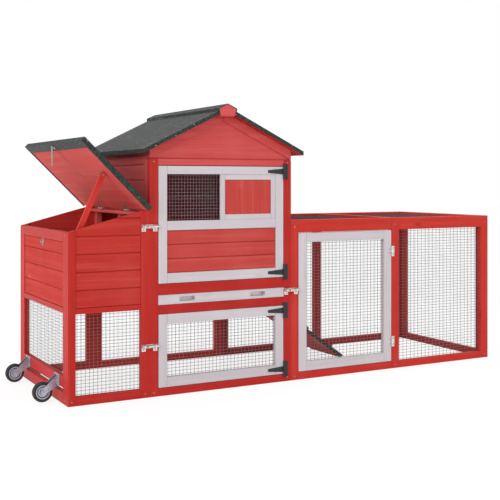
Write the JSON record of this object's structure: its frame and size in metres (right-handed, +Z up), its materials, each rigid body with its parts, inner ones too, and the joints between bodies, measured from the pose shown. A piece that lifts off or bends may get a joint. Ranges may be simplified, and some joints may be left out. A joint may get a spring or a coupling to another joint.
{
  "type": "chicken tractor",
  "caption": "Movable wooden chicken coop with a felt-roofed house over a lower pen, a lidded nest box on wheels, and a long framed wire run with doors, tray and ramp.",
  "frame": {"origin": "on the ground, at the middle of the whole part's plan outline", "axes": "+X from the nest box and wheels towards the run's far end, +Y from the door front to the rear wall, +Z up"},
  "size_m": [2.1254, 0.761, 1.1304],
  "materials": {
    "red_paint": "satin red paint on softwood, grain and plank grooves showing",
    "white_paint": "matte off-white paint on softwood",
    "inner_wood": "thin red stain on softwood, inside faces",
    "galvanised_mesh": "dull galvanised welded wire",
    "roof_felt": "mineral-surfaced bitumen felt, grey-green and gritty",
    "galvanised_steel": "bright zinc plating",
    "black_iron": "satin black enamel",
    "tyre": "matte solid rubber",
    "hub": "grey moulded plastic with ringed face"
  },
  "bodies": {
    "coop": {"nest_end_frame": "red_paint", "nest_end_planks": "red_paint", "nest_side_frames": "red_paint", "nest_side_planks": "red_paint", "nest_mesh": "galvanised_mesh", "nest_boards": "inner_wood", "hasp_staple": "galvanised_steel", "house_front_frame": "red_paint", "house_rear_frame": "red_paint", "house_left_wall": "red_paint", "house_right_wall": "red_paint", "house_rear_planks": "red_paint", "rear_mesh": "galvanised_mesh", "gables": "red_paint", "roof_deck": "inner_wood", "roof_felt": "roof_felt", "ridge_beam": "red_paint", "tray_runners": "inner_wood", "perches": "inner_wood", "run_front_frame": "red_paint", "run_rear_frame": "red_paint", "run_end_frame": "red_paint", "run_roof_frame": "red_paint", "run_front_mesh": "galvanised_mesh", "run_end_mesh": "galvanised_mesh", "run_roof_mesh": "galvanised_mesh", "wheel_brackets": "galvanised_steel", "strap_hinge_plates": "black_iron", "butt_hinge_leaves": "galvanised_steel", "bolt_housings": "galvanised_steel"},
    "upper_door": {"upper_door_frame": "white_paint", "upper_door_planks": "red_paint", "upper_door_mesh": "galvanised_mesh", "upper_door_straps": "black_iron"},
    "shutter": {"shutter_frame": "white_paint", "shutter_panel": "red_paint"},
    "lower_door": {"lower_door_frame": "white_paint", "lower_door_mesh": "galvanised_mesh", "lower_door_straps": "black_iron"},
    "run_door": {"run_door_frame": "white_paint", "run_door_mesh": "galvanised_mesh", "run_door_leaves": "galvanised_steel"},
    "tray": {"tray_front": "white_paint", "tray_pan": "galvanised_steel"},
    "lid": {"lid_board": "red_paint", "lid_felt": "roof_felt", "lid_leaves": "galvanised_steel"},
    "prop": {"lid_prop": "red_paint"},
    "hasp": {"hasp_strap": "galvanised_steel"},
    "ramp": {"ramp_board": "red_paint", "ramp_felt": "roof_felt", "ramp_treads": "red_paint", "ramp_leaves": "galvanised_steel"},
    "upper_bolt_rod": {"upper_bolt": "galvanised_steel"},
    "lower_bolt_rod": {"lower_bolt": "galvanised_steel"},
    "run_bolt_rod": {"run_bolt": "galvanised_steel"},
    "front_wheel": {"front_tyre": "tyre", "front_hub": "hub"},
    "rear_wheel": {"rear_tyre": "tyre", "rear_hub": "hub"}
  },
  "joints": [
    {"name": "upper_door_hinge", "type": "hinge", "parent": "coop", "child": "upper_door", "pos_m": [-0.05225, -0.3303, 0.657], "axis": [0, 0, 1], "range_deg": [0, 105]},
    {"name": "shutter_slide", "type": "slide", "parent": "upper_door", "child": "shutter", "axis": [-1, 0, 0], "range_m": [0, 0.23]},
    {"name": "lower_door_hinge", "type": "hinge", "parent": "coop", "child": "lower_door", "pos_m": [-0.05225, -0.3303, 0.172], "axis": [0, 0, 1], "range_deg": [0, 105]},
    {"name": "run_door_hinge", "type": "hinge", "parent": "coop", "child": "run_door", "pos_m": [0.50075, -0.3303, 0.321], "axis": [0, 0, 1], "range_deg": [0, 105]},
    {"name": "tray_slide", "type": "slide", "parent": "coop", "child": "tray", "axis": [0, -1, 0], "range_m": [0, 0.52]},
    {"name": "lid_hinge", "type": "hinge", "parent": "coop", "child": "lid", "pos_m": [-0.67025, 0, 0.71039], "axis": [0, 1, 0], "range_deg": [-58.9, 25]},
    {"name": "prop_pivot", "type": "hinge", "parent": "lid", "child": "prop", "pos_m": [-0.82328, -0.297, 0.84857], "axis": [0, 1, 0], "range_deg": [-18, 35]},
    {"name": "hasp_swing", "type": "hinge", "parent": "lid", "child": "hasp", "pos_m": [-0.92807, 0, 0.96164], "axis": [0, 1, 0], "range_deg": [-31, 60]},
    {"name": "ramp_hinge", "type": "hinge", "parent": "coop", "child": "ramp", "pos_m": [-0.01195, 0.112, 0.3447], "axis": [0, -1, 0], "range_deg": [0, 58]},
    {"name": "upper_bolt_slide", "type": "slide", "parent": "coop", "child": "upper_bolt_rod", "axis": [1, 0, 0], "range_m": [0, 0.02]},
    {"name": "lower_bolt_slide", "type": "slide", "parent": "coop", "child": "lower_bolt_rod", "axis": [1, 0, 0], "range_m": [0, 0.02]},
    {"name": "run_bolt_slide", "type": "slide", "parent": "coop", "child": "run_bolt_rod", "axis": [1, 0, 0], "range_m": [0, 0.02]},
    {"name": "front_wheel_spin", "type": "hinge", "parent": "coop", "child": "front_wheel", "pos_m": [-1.02525, -0.198, 0.0375], "axis": [0, 1, 0], "continuous": true},
    {"name": "rear_wheel_spin", "type": "hinge", "parent": "coop", "child": "rear_wheel", "pos_m": [-1.02525, 0.198, 0.0375], "axis": [0, 1, 0], "continuous": true}
  ],
  "couplings": [
    {"joint": "prop_pivot", "follows": "lid_hinge", "ratio": -0.58},
    {"joint": "hasp_swing", "follows": "lid_hinge", "ratio": -1}
  ]
}
